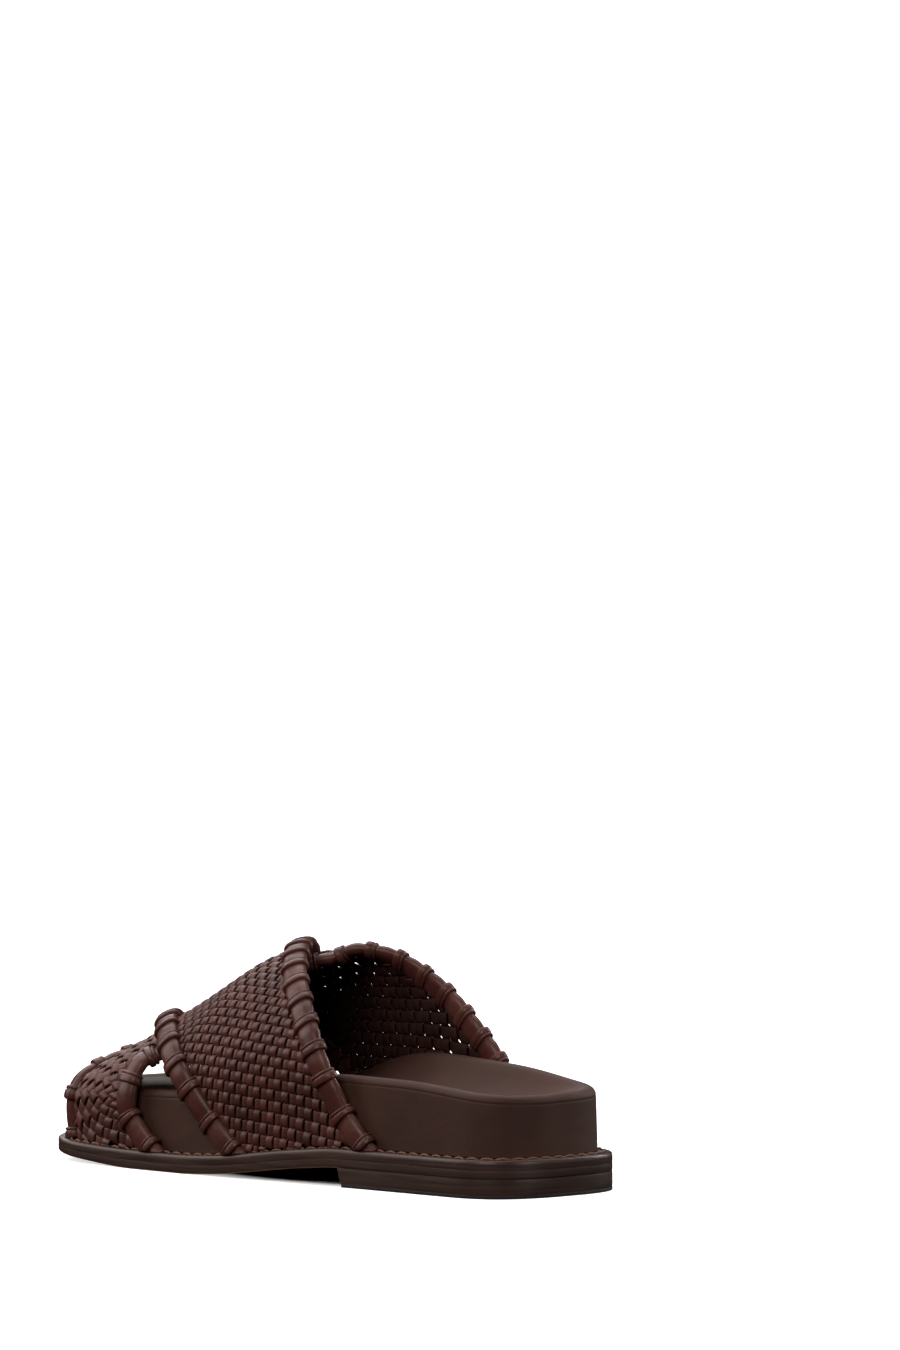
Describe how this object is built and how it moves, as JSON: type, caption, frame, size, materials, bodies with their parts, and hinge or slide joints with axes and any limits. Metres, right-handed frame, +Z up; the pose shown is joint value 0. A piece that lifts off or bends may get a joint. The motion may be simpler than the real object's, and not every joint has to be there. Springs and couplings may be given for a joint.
{
  "type": "slide sandal",
  "caption": "Left slip-on leather slide with woven bands crossing over the instep, taped band edges, a raised cupped footbed and a low stacked heel.",
  "frame": {"origin": "middle of the bounding box at floor level, where the heel and the forefoot rest", "axes": "+Y from the heel to the toe, +X to the inner side of the left foot, +Z up"},
  "size_m": [0.0962, 0.26, 0.0888],
  "materials": {
    "band_leather": "semi-gloss woven leather strips",
    "tape_leather": "semi-gloss padded leather tape",
    "footbed_leather": "smooth satin leather",
    "sole_leather": "burnished sole leather",
    "heel_rubber": "matt"
  },
  "bodies": {
    "root": {"heel_top_lift": "heel_rubber", "heel_block": "sole_leather", "outsole": "sole_leather", "midsole": "sole_leather", "footbed": "footbed_leather", "woven_upper": "band_leather", "upper_band_rear_roll": "tape_leather", "upper_band_front_roll": "tape_leather", "lower_band_rear_roll": "tape_leather", "lower_band_front_roll": "tape_leather"}
  },
  "joints": []
}
